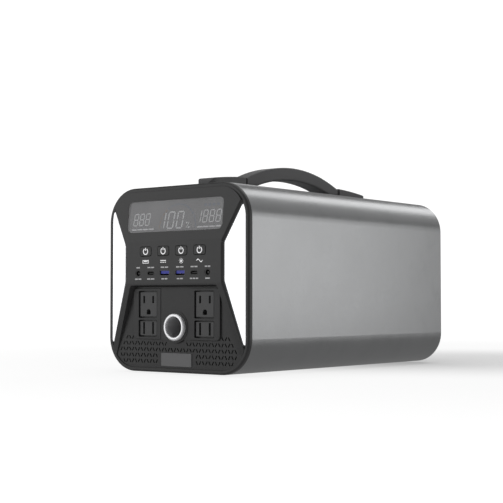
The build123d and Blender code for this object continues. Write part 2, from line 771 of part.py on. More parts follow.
def make_bracket(end, name):
    """End bracket: a wedge that falls from the grip's end to a rounded nose."""
    near = HANDLE_Y + end * BRACKET_START
    far = HANDLE_Y + end * BRACKET_END
    nose = far - end * 6
    middle = (near + nose) / 2
    with BuildPart() as bracket:
        with BuildSketch(Plane.YZ):
            with BuildLine():
                ThreePointArc((near, TOP_Z + BRACKET_HIGH), (middle, TOP_Z + 14), (nose, TOP_Z + BRACKET_NOSE))
                ThreePointArc((nose, TOP_Z + BRACKET_NOSE), (far - end * 1.2, TOP_Z + 6), (far, TOP_Z))
                Line((far, TOP_Z), (near, TOP_Z))
                Line((near, TOP_Z), (near, TOP_Z + BRACKET_HIGH))
            make_face()
        extrude(amount=BRACKET_W / 2, both=True)
        with BuildSketch(Plane.XY.offset(TOP_Z)) as plan:
            with Locations((0, (near + far) / 2)):
                Rectangle(BRACKET_W, abs(far - near))
            tip = plan.vertices().group_by(Axis.Y)[-1 if end > 0 else 0]
            fillet(tip, 9)
        extrude(amount=20, mode=Mode.INTERSECT)
        raised = bracket.edges().filter_by(lambda e: e.center().Z > TOP_Z + 11)
        upper_edges = raised.filter_by(lambda e: abs(e.center().Y - near) > 0.1)
        fillet(upper_edges, 1.6)
        with BuildSketch(axis_plane(0, near, TOP_Z + PIVOT_H)):
            Circle(PIN_R)
        extrude(amount=-end * 14, mode=Mode.SUBTRACT)
        with BuildSketch(Plane.XY.offset(TOP_Z)):
            with Locations(*[(0, HANDLE_Y + end * reach) for reach in BRACKET_SCREWS]):
                Circle(2.0)
        extrude(amount=6, mode=Mode.SUBTRACT)
    save(bracket, name)


def make_bracket_screws():
    inner_top = TOP_Z - WALL
    with BuildPart() as screws:
        with BuildSketch(Plane.XY.offset(inner_top - 3)):
            with Locations(*[(0, HANDLE_Y + end * reach) for end in (-1, 1) for reach in BRACKET_SCREWS]):
                Circle(4)
        extrude(amount=3)
        with BuildSketch(Plane.XY.offset(inner_top)):
            with Locations(*[(0, HANDLE_Y + end * reach) for end in (-1, 1) for reach in BRACKET_SCREWS]):
                Circle(1.95)
        extrude(amount=8)
    save(screws, "bracket_screws")


# ---- rear cover, fans and inlets ----
def make_rear_cover():
    plate_front = COVER_BACK - COVER_T
    inlet_z = 35.0
    with BuildPart() as cover:
        with BuildSketch(face_plane(COVER_BACK - FRONT_Y)):
            case_outline(WALL + 0.3)
        extrude(amount=COVER_T)
        with BuildSketch(face_plane(plate_front - FRONT_Y)):
            case_outline(WALL + 0.3)
            case_outline(WALL + 2.8, Mode.SUBTRACT)
        extrude(amount=10)
        with BuildSketch(face_plane(plate_front - FRONT_Y)):
            screw_circles(CHANNEL_R + 0.4)
        extrude(amount=10, mode=Mode.SUBTRACT)
        with BuildSketch(face_plane(plate_front - 3 - FRONT_Y)):
            case_outline(WALL)
            case_outline(WALL + 1.5, Mode.SUBTRACT)
        extrude(amount=2, mode=Mode.SUBTRACT)
        with BuildSketch(face_plane(COVER_BACK - FRONT_Y)):
            for side in (-1, 1):
                with Locations((side * FAN_X, FAN_Z)):
                    for radius in (37, 32, 27, 22, 17, 12):
                        Circle(radius + 1.3)
                        Circle(radius - 1.2, mode=Mode.SUBTRACT)
                    Rectangle(FAN_SIZE, 3, rotation=45, mode=Mode.SUBTRACT)
                    Rectangle(FAN_SIZE, 3, rotation=-45, mode=Mode.SUBTRACT)
            with Locations((-FAN_X, inlet_z)):
                RectangleRounded(27.6, 20.0, 2)
            with Locations((FAN_X - 14, inlet_z), (FAN_X + 14, inlet_z)):
                Circle(6.2)
        extrude(amount=COVER_T, mode=Mode.SUBTRACT)
        for radius, depth in SCREW_SEAT:
            with BuildSketch(face_plane(COVER_BACK - FRONT_Y)):
                screw_circles(radius)
            extrude(amount=depth, mode=Mode.SUBTRACT)
    save(cover, "rear_cover")
    with BuildPart() as inlet:
        with BuildSketch(face_plane(COVER_BACK - FRONT_Y)):
            with Locations((-FAN_X, inlet_z)):
                RectangleRounded(27.2, 19.6, 1.8)
        extrude(amount=24)
        with BuildSketch(face_plane(plate_front - 0.05 - FRONT_Y)):
            with Locations((-FAN_X, inlet_z)):
                RectangleRounded(33, 25, 2)
        extrude(amount=2)
        with BuildSketch(face_plane(COVER_BACK - FRONT_Y)):
            with Locations((-FAN_X, inlet_z)):
                RectangleRounded(24, 16.4, 2)
        extrude(amount=16, mode=Mode.SUBTRACT)
        with BuildSketch(face_plane(COVER_BACK - 16 - FRONT_Y)):
            with Locations((-FAN_X, inlet_z + 2), (-FAN_X - 7, inlet_z - 2), (-FAN_X + 7, inlet_z - 2)):
                Rectangle(2, 4)
        extrude(amount=-11)
    save(inlet, "charge_inlet")
    with BuildPart() as jacks:
        for offset in (-14, 14):
            with BuildSketch(face_plane(COVER_BACK - FRONT_Y)):
                with Locations((FAN_X + offset, inlet_z)):
                    Circle(6)
            extrude(amount=22)
            with BuildSketch(face_plane(plate_front - 0.05 - FRONT_Y)):
                with Locations((FAN_X + offset, inlet_z)):
                    RegularPolygon(9, 6)
            extrude(amount=3)
            with BuildSketch(face_plane(COVER_BACK - FRONT_Y)):
                with Locations((FAN_X + offset, inlet_z)):
                    Circle(4)
            extrude(amount=14, mode=Mode.SUBTRACT)
            with BuildSketch(face_plane(COVER_BACK - 14 - FRONT_Y)):
                with Locations((FAN_X + offset, inlet_z)):
                    Circle(1)
            extrude(amount=-12)
    save(jacks, "solar_inlets")


def make_case_screws():
    """Four screws at each end into the sleeve's channels, heads flush in their seats."""
    with BuildPart() as screws:
        for setback, direction in ((BEZEL_DEPTH, -1), (COVER_BACK - FRONT_Y, 1)):
            with BuildSketch(face_plane(setback + 0.05 * -direction)):
                screw_circles(HEAD_R)
            extrude(amount=direction * (HEAD_T - 0.05))
            with BuildSketch(face_plane(setback + 0.05 * -direction)):
                screw_circles(SCREW_R)
            extrude(amount=direction * 14)
            with BuildSketch(face_plane(setback)):
                with Locations((0, BODY_MID_Z)):
                    with GridLocations(2 * CHANNEL_X, 2 * CHANNEL_DZ, 2, 2):
                        Rectangle(3.8, 0.9)
                        Rectangle(0.9, 3.8)
            extrude(amount=direction * 1.2, mode=Mode.SUBTRACT)
    save(screws, "case_screws")


def make_fan(side, name):
    centre = (side * FAN_X, COVER_BACK - COVER_T - 0.05, FOOT_H + FAN_Z)
    back = axis_plane(*centre)
    with BuildPart(back) as frame:
        with BuildSketch(back):
            RectangleRounded(FAN_SIZE, FAN_SIZE, 5)
            Circle(FAN_BORE_R, mode=Mode.SUBTRACT)
            with GridLocations(71.5, 71.5, 2, 2):
                Circle(2.2, mode=Mode.SUBTRACT)
        extrude(amount=FAN_DEPTH)
        with BuildSketch(back.offset(FAN_DEPTH - 3)):
            Circle(HUB_R + 1)
            with PolarLocations(0, 4):
                with Locations((FAN_BORE_R / 2, 0)):
                    Rectangle(FAN_BORE_R + 2, 3)
        extrude(amount=3)
        with BuildSketch(back.offset(FAN_DEPTH)):
            Circle(SHAFT_R + PIN_CLEARANCE)
        extrude(amount=-3, mode=Mode.SUBTRACT)
    save(frame, name + "_frame")
    with BuildPart(back) as rotor:
        with BuildSketch(back.offset(2)):
            Circle(HUB_R)
        extrude(amount=FAN_DEPTH - 6)
        with BuildSketch(back.offset(FAN_DEPTH - 5)):
            Circle(SHAFT_R)
        extrude(amount=4.5)
        with PolarLocations(HUB_R + 10, 7):
            with Locations((0, 0, FAN_DEPTH / 2 - 1)):
                Box(23, 1.6, 15, rotation=(38, 0, 0))
    save(rotor, name + "_rotor")


# ---- battery and inverter ----
def make_tray():
    front = FRONT_Y + 22
    length = 318.0
    with BuildPart() as tray:
        with BuildSketch(axis_plane(0, front + length, FOOT_H)):
            with Locations((0, TRAY_Z)):
                Rectangle(150, 1.5, align=(Align.CENTER, Align.MAX))
            for side in (-1, 1):
                with Locations((side * 58, WALL + 0.1)):
                    Rectangle(1.5, TRAY_Z - WALL - 1, align=(Align.CENTER, Align.MIN))
                with Locations((side * 53, WALL + 0.1)):
                    Rectangle(11, 1.5, align=(Align.CENTER, Align.MIN))
        extrude(amount=length)
    save(tray, "chassis_tray")


def cell_grid():
    return GridLocations(CELL_PITCH, CELL_PITCH, CELL_COLUMNS, CELL_ROWS)


def make_battery():
    pack_mid = CELL_Z0 + CELL_PITCH * (CELL_ROWS - 1) / 2
    pack_w = CELL_PITCH * CELL_COLUMNS + 2
    pack_h = CELL_PITCH * CELL_ROWS + 2
    layers = (BATTERY_Y + CELL_L, BATTERY_Y + 2 * CELL_L + 4)
    with BuildPart() as cells:
        for back in layers:
            with BuildSketch(axis_plane(0, back, FOOT_H + pack_mid)):
                with cell_grid():
                    Circle(CELL_R)
            extrude(amount=CELL_L)
    save(cells, "battery_cells")
    holder_backs = {"front_cell_holder": BATTERY_Y + 10, "rear_cell_holder": layers[1] - 2}
    for name, back in holder_backs.items():
        with BuildPart() as holder:
            with BuildSketch(axis_plane(0, back, FOOT_H + pack_mid)):
                RectangleRounded(pack_w, pack_h, 6)
                with cell_grid():
                    Circle(CELL_R + 0.1, mode=Mode.SUBTRACT)
            extrude(amount=8)
        save(holder, name)
    with BuildPart() as bars:
        for back in (BATTERY_Y - 0.1, layers[0] + 2.15, layers[1] + 0.4):
            with BuildSketch(axis_plane(0, back, FOOT_H + pack_mid)):
                with GridLocations(CELL_PITCH, 0, CELL_COLUMNS, 1):
                    Rectangle(10, pack_h - 20)
            extrude(amount=0.3)
    save(bars, "cell_bus_bars")
    board_z = FOOT_H + pack_mid + pack_h / 2 + 3
    with BuildPart() as board:
        with BuildSketch(Plane.XY.offset(board_z)):
            with Locations((0, BATTERY_Y + 72)):
                Rectangle(120, 110)
        extrude(amount=1.6)
        with BuildSketch(Plane.XY.offset(board_z + 1.6)):
            with Locations((0, BATTERY_Y + 72)):
                with GridLocations(15, 70, 7, 2):
                    Rectangle(10, 15)
        extrude(amount=4)
        with BuildSketch(Plane.XY.offset(board_z)):
            with Locations((0, BATTERY_Y + 72)):
                with GridLocations(104, 94, 2, 2):
                    Circle(3)
        extrude(amount=-2.9)
    save(board, "battery_board")


def make_inverter():
    board_z = FOOT_H + TRAY_Z + 6
    mid_y = 100.0
    with BuildPart() as board:
        with BuildSketch(Plane.XY.offset(board_z)):
            with Locations((0, mid_y)):
                Rectangle(150, 100)
        extrude(amount=1.6)
        with BuildSketch(Plane.XY.offset(board_z)):
            with Locations((0, mid_y)):
                with GridLocations(120, 80, 2, 2):
                    Circle(3)
        extrude(amount=-5.9)
    save(board, "inverter_board")
    with BuildPart() as sinks:
        for side in (-1, 1):
            with BuildSketch(Plane.XY.offset(board_z + 1.7)):
                with Locations((side * 62, mid_y)):
                    Rectangle(4, 90)
                with Locations((side * 70, mid_y)):
                    with GridLocations(0, 8, 1, 12):
                        Rectangle(13, 1.6)
            extrude(amount=60)
    save(sinks, "inverter_heat_sinks")
    with BuildPart() as coils:
        with BuildSketch(Plane.XY.offset(board_z + 1.7)):
            with Locations((-30, mid_y - 22), (-30, mid_y + 24)):
                RectangleRounded(42, 36, 4)
        extrude(amount=34)
    save(coils, "inverter_transformers")
    with BuildPart() as capacitors:
        with BuildSketch(Plane.XY.offset(board_z + 1.7)):
            with Locations((34, mid_y)):
                with GridLocations(28, 28, 2, 3):
                    Circle(11)
        extrude(amount=40)
    save(capacitors, "inverter_capacitors")
    with BuildPart() as leads:
        for x in (-4, 4):
            start = (x, BATTERY_Y + 125, FOOT_H + 168)
            corner = (x, 62, FOOT_H + 168)
            with BuildLine() as route:
                FilletPolyline(start, corner, (x, 62, board_z + 1.8), radius=12)
            with BuildSketch(Plane(origin=start, z_dir=(0, 1, 0))):
                Circle(2.6)
            sweep(path=route.line)
    save(leads, "battery_leads")


# ---- feet ----
def make_feet():
    with BuildPart() as feet:
        with BuildSketch(Plane.XY):
            with Locations((0, MID_Y)):
                with GridLocations(64, 240, 2, 2):
                    Circle(9.5)
        extrude(amount=FOOT_H)
        lower_edges = feet.edges().group_by(Axis.Z)[0]
        fillet(lower_edges, 0.8)
    save(feet, "rubber_feet")


def main():
    os.makedirs("parts", exist_ok=True)
    make_sleeve()
    make_front_frame()
    make_seals()
    make_front_panel()
    make_vent_panel()
    make_outlet_plate()
    make_light_lens(-1, "left_light_lens")
    make_light_lens(1, "right_light_lens")
    make_light_boards()
    make_display()
    for name, x in BUTTON_X.items():
        make_button(name, x)
    make_control_board()
    make_port_board()
    make_usb_a_tongues()
    for side, word in ((-1, "left"), (1, "right")):
        make_usb_a_port(side, word + "_usb_a_port")
        make_usb_c_port(side, word + "_usb_c_port")
        make_outlet(side, word + "_grounded_outlet", *GROUNDED_Z, True)
        make_outlet(side, word + "_flat_outlet", *FLAT_Z, False)
        make_fan(side, word + "_fan")
    make_dc_jacks()
    make_outlet_contacts()
    make_car_socket()
    make_badge()
    make_handle()
    make_bracket(-1, "front_handle_bracket")
    make_bracket(1, "rear_handle_bracket")
    make_bracket_screws()
    make_rear_cover()
    make_case_screws()
    make_tray()
    make_battery()
    make_inverter()
    make_feet()


main()
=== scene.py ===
"""The look of a portable power station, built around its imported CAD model."""

import json
from math import cos, pi, radians, sin

import bmesh
import bpy
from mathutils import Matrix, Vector


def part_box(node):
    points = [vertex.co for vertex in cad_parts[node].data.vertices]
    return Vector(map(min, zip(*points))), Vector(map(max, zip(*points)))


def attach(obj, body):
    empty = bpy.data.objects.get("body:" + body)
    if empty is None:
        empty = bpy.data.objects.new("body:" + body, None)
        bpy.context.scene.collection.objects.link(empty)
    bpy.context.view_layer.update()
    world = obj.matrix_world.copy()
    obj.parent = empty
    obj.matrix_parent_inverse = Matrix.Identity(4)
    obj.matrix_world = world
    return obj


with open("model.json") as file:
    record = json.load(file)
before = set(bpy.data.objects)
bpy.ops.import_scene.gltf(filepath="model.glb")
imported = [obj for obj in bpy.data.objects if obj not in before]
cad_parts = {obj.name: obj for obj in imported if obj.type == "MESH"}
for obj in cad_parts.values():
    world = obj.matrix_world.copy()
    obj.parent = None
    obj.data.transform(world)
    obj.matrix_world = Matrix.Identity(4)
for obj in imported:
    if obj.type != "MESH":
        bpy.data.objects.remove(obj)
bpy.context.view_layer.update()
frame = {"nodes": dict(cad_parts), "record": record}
SLOT_OF = {part["node"]: part["material_slot"] for part in frame["record"]["subparts"]}

MM = 0.001
FRONT = Vector((0, -1, 0))
REAR = Vector((0, 1, 0))
UP = Vector((0, 0, 1))

# printed marks: how deep they start in the face and how far they stand proud
SINK = 0.05 * MM
PRINT_T = 0.06 * MM
SEGMENT_T = 0.04 * MM
BORDER_T = 0.05 * MM
ICON_R = 3.5 * MM
ICON_STROKE = 1.0 * MM
LABEL_DROP = 10.6 * MM
LABEL_H = 3.4 * MM
LABEL_STROKE = 0.6 * MM
PLUG_W = 8.6 * MM
PLUG_TONGUE = (5.4 * MM, 0.9 * MM)
LINE_W = 7.7 * MM
LINE_RISE = 0.9 * MM
DASH_W = 1.9 * MM
DASH_PITCH = 2.9 * MM
WAVE_W = 8.0 * MM
RAY = (1.1 * MM, 0.6 * MM)
RAY_REACH = 2.25 * MM
LAMP_R = 1.2 * MM
REAR_SIGN_RISE = 17.5 * MM
PORT_MARK_RISE = 5.9 * MM
PORT_MARK_H = 1.3 * MM
PORT_MARK_GAP = 0.9 * MM
JACK_INSET = 4.75 * MM

# display: places are measured from the window's middle, along its face; a digit is its width,
# height and stroke
SLANT = 0.14
SMALL_DIGIT = (6.5 * MM, 13.0 * MM, 1.05 * MM)
LARGE_DIGIT = (9.2 * MM, 18.2 * MM, 1.5 * MM)
LEFT_DIGITS = (-54.3 * MM, -2.6 * MM)
MIDDLE_DIGITS = (-17.5 * MM, -4.6 * MM)
RIGHT_DIGITS = (32.2 * MM, -2.3 * MM)
LEFT_PITCH = 8.2 * MM
MIDDLE_PITCH = 12.3 * MM
RIGHT_PITCH = 8.6 * MM
PERCENT = (18.0 * MM, -10.3 * MM)
PERCENT_BAR = (6.4 * MM, 0.7 * MM)
PERCENT_DOT_R = 1.0 * MM
PERCENT_DOT_OFFSET = (1.6 * MM, 2.3 * MM)
FOOT_LINE = (7.0 * MM, 1.3 * MM)
FOOT_LINE_PITCH = 8.0 * MM
FOOT_LINE_STARTS = (-56 * MM, 34.5 * MM)
FOOT_LINE_HEIGHT = -12.9 * MM
UNIT_MARK = (3.6 * MM, 2.6 * MM)
UNIT_MARK_PITCH = 5.6 * MM
UNIT_MARK_START = (40 * MM, 9.2 * MM)
GAUGE_MIDDLE = (4 * MM, -13 * MM)
GAUGE_R = 25.5 * MM
GAUGE_T = 1.6 * MM
GAUGE_STEPS = 17
TICK_SHARE = 0.72
WINDOW_T = 1.4 * MM
LEDGE_GAP = 0.1 * MM
BORDER_R = 5.85 * MM
BORDER_W = 2.0 * MM

# contacts in the USB ports
PAD = (1.0 * MM, 7.0 * MM)
PAD_PLACES = (-3.5 * MM, -1.0 * MM, 1.0 * MM, 3.5 * MM)
PAD_SETBACK = 1.5 * MM

# foam behind the vents
FOAM_T = 0.85 * MM
FOAM_GAP = 0.1 * MM
FOAM_CLEAR = 1 * MM
FOAM_STEP = 5 * MM
FOAM_SHOULDER_X = 72 * MM
FOAM_FOOT_X = 80 * MM

# camera
EYE = (0.8301, -1.1043, 0.0749)
HEADING = radians(38.47)
PITCH = radians(2.31)
LENS_MM = 87.09

# floor: painted shade, its white glow is least around this spot behind the object, and plain white beyond
# this reach
SHADE_SPOT = (0.10, 0.28, 0)
SHADE_REACH = 1.5
FLOOR_R = 12
WHITE_GLOW = 1.1


# ---- materials ----
def bare_material(name):
    """A node material with only its Principled shader: (material, node tree, shader)."""
    material = bpy.data.materials.new(name)
    material.use_nodes = True
    tree = material.node_tree
    return material, tree, tree.nodes["Principled BSDF"]


def noise(tree, scale, detail, stretch=(1, 1, 1)):
    """Noise over the object's own coordinates, scale in features per metre."""
    place = tree.nodes.new("ShaderNodeTexCoord")
    stretched = tree.nodes.new("ShaderNodeMapping")
    stretched.inputs["Scale"].default_value = stretch
    tree.links.new(place.outputs["Object"], stretched.inputs["Vector"])
    texture = tree.nodes.new("ShaderNodeTexNoise")
    texture.inputs["Scale"].default_value = scale
    texture.inputs["Detail"].default_value = detail
    tree.links.new(stretched.outputs["Vector"], texture.inputs["Vector"])
    return texture.outputs["Fac"]


def spread(tree, value, low, high):
    """value, mostly 0.3 to 0.7 as noise is, stretched over low to high."""
    mapped = tree.nodes.new("ShaderNodeMapRange")
    mapped.inputs["From Min"].default_value = 0.3
    mapped.inputs["From Max"].default_value = 0.7
    mapped.inputs["To Min"].default_value = low
    mapped.inputs["To Max"].default_value = high
    tree.links.new(value, mapped.inputs["Value"])
    return mapped.outputs["Result"]


def tint(tree, shader, value, dark, light):
    """Base colour that goes from dark to light with value."""
    blend = tree.nodes.new("ShaderNodeMix")
    blend.data_type = "RGBA"
    blend.inputs["A"].default_value = (*dark, 1)
    blend.inputs["B"].default_value = (*light, 1)
    tree.links.new(spread(tree, value, 0, 1), blend.inputs["Factor"])
    tree.links.new(blend.outputs["Result"], shader.inputs["Base Color"])


def relief(tree, shader, value, height):
    """Bump of the given height, in metres."""
    bump = tree.nodes.new("ShaderNodeBump")
    bump.inputs["Strength"].default_value = 1.0
    bump.inputs["Distance"].default_value = height
    tree.links.new(value, bump.inputs["Height"])
    tree.links.new(bump.outputs["Normal"], shader.inputs["Normal"])


def surface(name, colour, rough, grain, height, metallic=0.0, vary=0.06, specular=0.5, stretch=(1, 1, 1)):
    """Moulded, cast or plated surface: slow colour and gloss variation and a fine grain."""
    material, tree, shader = bare_material(name)
    shader.inputs["Metallic"].default_value = metallic
    shader.inputs["Specular IOR Level"].default_value = specular
    slow = noise(tree, 22, 4)
    fine = noise(tree, grain, 2, stretch)
    dark = [c * (1 - vary) for c in colour]
    light = [min(1, c * (1 + vary)) for c in colour]
    tint(tree, shader, slow, dark, light)
    both = tree.nodes.new("ShaderNodeMath")
    both.operation = "ADD"
    tree.links.new(spread(tree, slow, rough - 0.02, rough + 0.02), both.inputs[0])
    tree.links.new(spread(tree, fine, -0.03, 0.03), both.inputs[1])
    tree.links.new(both.outputs["Value"], shader.inputs["Roughness"])
    relief(tree, shader, fine, height)
    return material


def lit(material, colour, strength):
    """The material with an even glow."""
    shader = material.node_tree.nodes["Principled BSDF"]
    shader.inputs["Emission Color"].default_value = (*colour, 1)
    shader.inputs["Emission Strength"].default_value = strength
    return material


def see_through(material, alpha):
    """The material at the given opacity."""
    material.node_tree.nodes["Principled BSDF"].inputs["Alpha"].default_value = alpha
    return material


def board_material(name):
    """Green solder mask with copper-toned tracks."""
    material, tree, shader = bare_material(name)
    place = tree.nodes.new("ShaderNodeTexCoord")
    tracks = tree.nodes.new("ShaderNodeTexBrick")
    tracks.inputs["Scale"].default_value = 140
    tracks.inputs["Mortar Size"].default_value = 0.04
    tracks.inputs["Color1"].default_value = (0.012, 0.10, 0.04, 1)
    tracks.inputs["Color2"].default_value = (0.010, 0.085, 0.035, 1)
    tracks.inputs["Mortar"].default_value = (0.05, 0.22, 0.09, 1)
    tree.links.new(place.outputs["Object"], tracks.inputs["Vector"])
    tree.links.new(tracks.outputs["Color"], shader.inputs["Base Color"])
    shader.inputs["Roughness"].default_value = 0.35
    relief(tree, shader, tracks.outputs["Fac"], 0.03 * MM)
    return material


def grey(level):
    """A neutral colour, a touch cool."""
    return (level, level, level * 1.02)


def make_materials():
    """One finish for each material slot of the record, by slot name."""
    finishes = {
        "shell_aluminium": surface(
            "bead_blasted_aluminium", (0.40, 0.405, 0.41), 0.30, 2600, 0.012 * MM, 1.0, 0.03
        ),
        "panel_plastic": surface("panel_plastic", grey(0.023), 0.42, 1900, 0.03 * MM),
        "recess_plastic": surface("recess_plastic", grey(0.022), 0.45, 1900, 0.03 * MM),
        "handle_plastic": surface("handle_plastic", grey(0.086), 0.46, 1500, 0.05 * MM),
        "button_plastic": surface("button_plastic", grey(0.013), 0.38, 2400, 0.015 * MM),
        "outlet_plastic": surface("outlet_plastic", grey(0.046), 0.40, 2200, 0.02 * MM),
        "port_black": surface("port_black", grey(0.010), 0.35, 2500, 0.01 * MM),
        "port_steel": surface("port_steel", grey(0.13), 0.40, 900, 0.01 * MM, 1.0, 0.05, stretch=(1, 6, 1)),
        "blue_plastic": surface("blue_plastic", (0.018, 0.028, 0.33), 0.35, 2200, 0.01 * MM),
        "light_diffuser": lit(
            surface("light_diffuser", grey(0.90), 0.35, 900, 0.02 * MM, vary=0.01), (0.97, 0.98, 1.0), 0.6
        ),
        "display_glass": see_through(surface("display_glass", grey(0.30), 0.24, 1200, 0.004 * MM), 0.35),
        "display_cell": surface("display_cell", grey(0.24), 0.5, 2600, 0.006 * MM),
        "badge_plastic": surface("badge_plastic", grey(0.115), 0.42, 2600, 0.01 * MM),
        "socket_chrome": surface("socket_chrome", grey(0.84), 0.20, 700, 0.003 * MM, 0.6, 0.02),
        "socket_plastic": surface("socket_plastic", grey(0.014), 0.42, 2200, 0.02 * MM),
        "contact_brass": surface("contact_brass", (0.72, 0.52, 0.22), 0.28, 1200, 0.01 * MM, 1.0),
        "black_rubber": surface("black_rubber", grey(0.016), 0.72, 1400, 0.06 * MM, vary=0.12, specular=0.35),
        "plated_steel": surface("plated_steel", grey(0.50), 0.36, 1600, 0.01 * MM, 0.5),
        "tray_steel": surface("tray_steel", grey(0.46), 0.42, 260, 0.01 * MM, 1.0, 0.14),
        "fan_plastic": surface("fan_plastic", grey(0.015), 0.4, 1800, 0.02 * MM),
        "switch_plastic": surface("switch_plastic", grey(0.03), 0.45, 2000, 0.01 * MM),
        "circuit_board": board_material("circuit_board"),
        "cell_wrap": surface("cell_wrap", (0.03, 0.12, 0.30), 0.33, 900, 0.02 * MM),
        "holder_plastic": surface("holder_plastic", grey(0.03), 0.5, 1600, 0.03 * MM),
        "nickel_strip": surface(
            "nickel_strip", (0.58, 0.56, 0.50), 0.3, 900, 0.01 * MM, 1.0, stretch=(1, 1, 5)
        ),
        "lead_rubber": surface("lead_rubber", (0.30, 0.02, 0.02), 0.5, 1200, 0.03 * MM),
        "sink_aluminium": surface("sink_aluminium", grey(0.58), 0.36, 500, 0.02 * MM, 1.0, stretch=(1, 1, 8)),
        "coil_tape": surface("coil_tape", (0.55, 0.40, 0.06), 0.35, 700, 0.05 * MM, stretch=(1, 1, 9)),
        "capacitor_sleeve": surface("capacitor_sleeve", grey(0.014), 0.3, 1500, 0.01 * MM),
    }
    return finishes


FINISH = make_materials()
# white print with a painted glow: its emission makes the printed marks brighter than the lamps alone would,
# though print gives no light
WHITE_PRINT_PAINTED_GLOW = lit(surface("white_print_painted_glow", grey(0.85), 0.5, 2600, 0.01 * MM), (1.0, 1.0, 1.0), 0.25)
CELL_BORDER = surface("cell_border", grey(0.22), 0.5, 2600, 0.006 * MM)
GREY_PRINT = surface("grey_print", grey(0.50), 0.55, 2600, 0.01 * MM)
SEGMENT = lit(surface("lit_segment", grey(0.80), 0.5, 2600, 0.004 * MM), (0.95, 0.97, 1.0), 0.15)
WARM_SEGMENT = surface("warm_segment", (0.30, 0.20, 0.13), 0.5, 2600, 0.004 * MM)
COOL_SEGMENT = surface("cool_segment", (0.15, 0.18, 0.26), 0.5, 2600, 0.004 * MM)
GOLD_PAD = surface("gold_pad", (0.80, 0.60, 0.24), 0.25, 2000, 0.004 * MM, 1.0)
DARK_FOAM = surface("dark_foam", grey(0.008), 0.85, 900, 0.4 * MM, vary=0.4, specular=0.2)


def dress_cad_nodes():
    """Each CAD node gets the finish of its material slot."""
    for name, node in frame["nodes"].items():
        finish = FINISH[SLOT_OF[name]]
        if not node.material_slots:
            node.data.materials.append(finish)
        for material_slot in node.material_slots:
            material_slot.material = finish


# ---- places on the CAD model ----
def middle(node):
    """Middle of a CAD node's box at rest."""
    low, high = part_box(node)
    return (low + high) / 2


def flat_face(node, facing):
    """Middle and unit normal of a CAD node's largest flat face that looks about towards facing."""
    mesh = frame["nodes"][node].data
    planes = {}
    for polygon in mesh.polygons:
        if polygon.normal.dot(facing) > 0.9:
            depth = round(polygon.normal.dot(polygon.center), 5)
            key = (round(polygon.normal.x, 2), round(polygon.normal.y, 2), depth)
            planes.setdefault(key, []).append(polygon)
    largest = max(planes.values(), key=lambda found: sum(polygon.area for polygon in found))
    corners = [mesh.vertices[i].co for polygon in largest for i in polygon.vertices]
    low = Vector([min(c[axis] for c in corners) for axis in range(3)])
    high = Vector([max(c[axis] for c in corners) for axis in range(3)])
    return (low + high) / 2, largest[0].normal.copy()


# ---- flat outlines, each a list of (across, up) points in metres ----
def bar(x, y, width, height):
    """Rectangle about its middle."""
    right, top = width / 2, height / 2
    return [(x - right, y - top), (x + right, y - top), (x + right, y + top), (x - right, y + top)]


def turned_bar(x, y, width, height, angle):
    """Rectangle about its middle, turned anticlockwise."""
    corners = bar(0, 0, width, height)
    return [(x + u * cos(angle) - v * sin(angle), y + u * sin(angle) + v * cos(angle)) for u, v in corners]


def disc(x, y, radius, steps=20):
    """Round outline about its middle."""
    angles = [2 * pi * step / steps for step in range(steps)]
    return [(x + radius * cos(angle), y + radius * sin(angle)) for angle in angles]


def arc_band(x, y, inner, outer, start, end, steps):
    """Part of a ring from angle start to angle end, anticlockwise."""
    angles = [start + (end - start) * step / steps for step in range(steps + 1)]
    outside = [(x + outer * cos(angle), y + outer * sin(angle)) for angle in angles]
    inside = [(x + inner * cos(angle), y + inner * sin(angle)) for angle in reversed(angles)]
    return outside + inside


def box_frame(x, y, width, height, stroke):
    """Four bars that meet at the corners of a rectangle."""
    side_h = height - 2 * stroke
    across = (width - stroke) / 2
    rise = (height - stroke) / 2
    rails = [bar(x, y + s * rise, width, stroke) for s in (-1, 1)]
    return rails + [bar(x + s * across, y, stroke, side_h) for s in (-1, 1)]


def shifted(outlines, x, y):
    """The outlines moved across by x and up by y."""
    return [[(u + x, v + y) for u, v in outline] for outline in outlines]


def printed(name, outlines, origin, normal, body, material, raised=PRINT_T, sink=SINK):
    """Closed thin prisms on a face: each outline seen from outside, its up as near +Z as can be."""
    level = UP if abs(normal.z) < 0.9 else REAR
    right = level.cross(normal).normalized()
    up = normal.cross(right)
    mesh = bmesh.new()
    for outline in outlines:
        rings = []
        for depth in (-sink, raised):
            rings.append([mesh.verts.new(origin + right * u + up * v + normal * depth) for u, v in outline])
        bottom, top = rings
        mesh.faces.new(top)
        mesh.faces.new(list(reversed(bottom)))
        for i in range(len(outline)):
            j = (i + 1) % len(outline)
            mesh.faces.new((bottom[i], bottom[j], top[j], top[i]))
    bmesh.ops.recalc_face_normals(mesh, faces=mesh.faces)
    data = bpy.data.meshes.new(name)
    mesh.to_mesh(data)
    mesh.free()
    piece = bpy.data.objects.new(name, data)
    bpy.context.scene.collection.objects.link(piece)
    data.materials.append(material)
    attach(piece, body)
    return piece


# ---- buttons and their marks ----
def power_icon():
    """Ring open at the top with a short bar in the opening."""
    gap = radians(32)
    ring = arc_band(0, 0, ICON_R - ICON_STROKE, ICON_R, pi / 2 + gap, 5 * pi / 2 - gap, 40)
    return [ring, bar(0, ICON_R * 0.68, ICON_STROKE, ICON_R * 0.85)]


def port_sign():
    """End view of a plug: a frame with a bar inside."""
    width, height = PLUG_TONGUE
    return box_frame(0, 0, PLUG_W, LABEL_H, LABEL_STROKE) + [bar(0, height / 2, width, height)]


def direct_current_sign():
    """A line over three dashes."""
    stroke = LABEL_STROKE * 1.3
    under = [bar(step * DASH_PITCH, -LINE_RISE, DASH_W, stroke) for step in (-1, 0, 1)]
    return under + [bar(0, LINE_RISE, LINE_W, stroke)]


def light_sign():
    """A small disc with rays."""
    rays = []
    for step in range(8):
        angle = step * pi / 4
        rays.append(turned_bar(RAY_REACH * cos(angle), RAY_REACH * sin(angle), *RAY, angle))
    return rays + [disc(0, 0, LAMP_R)]


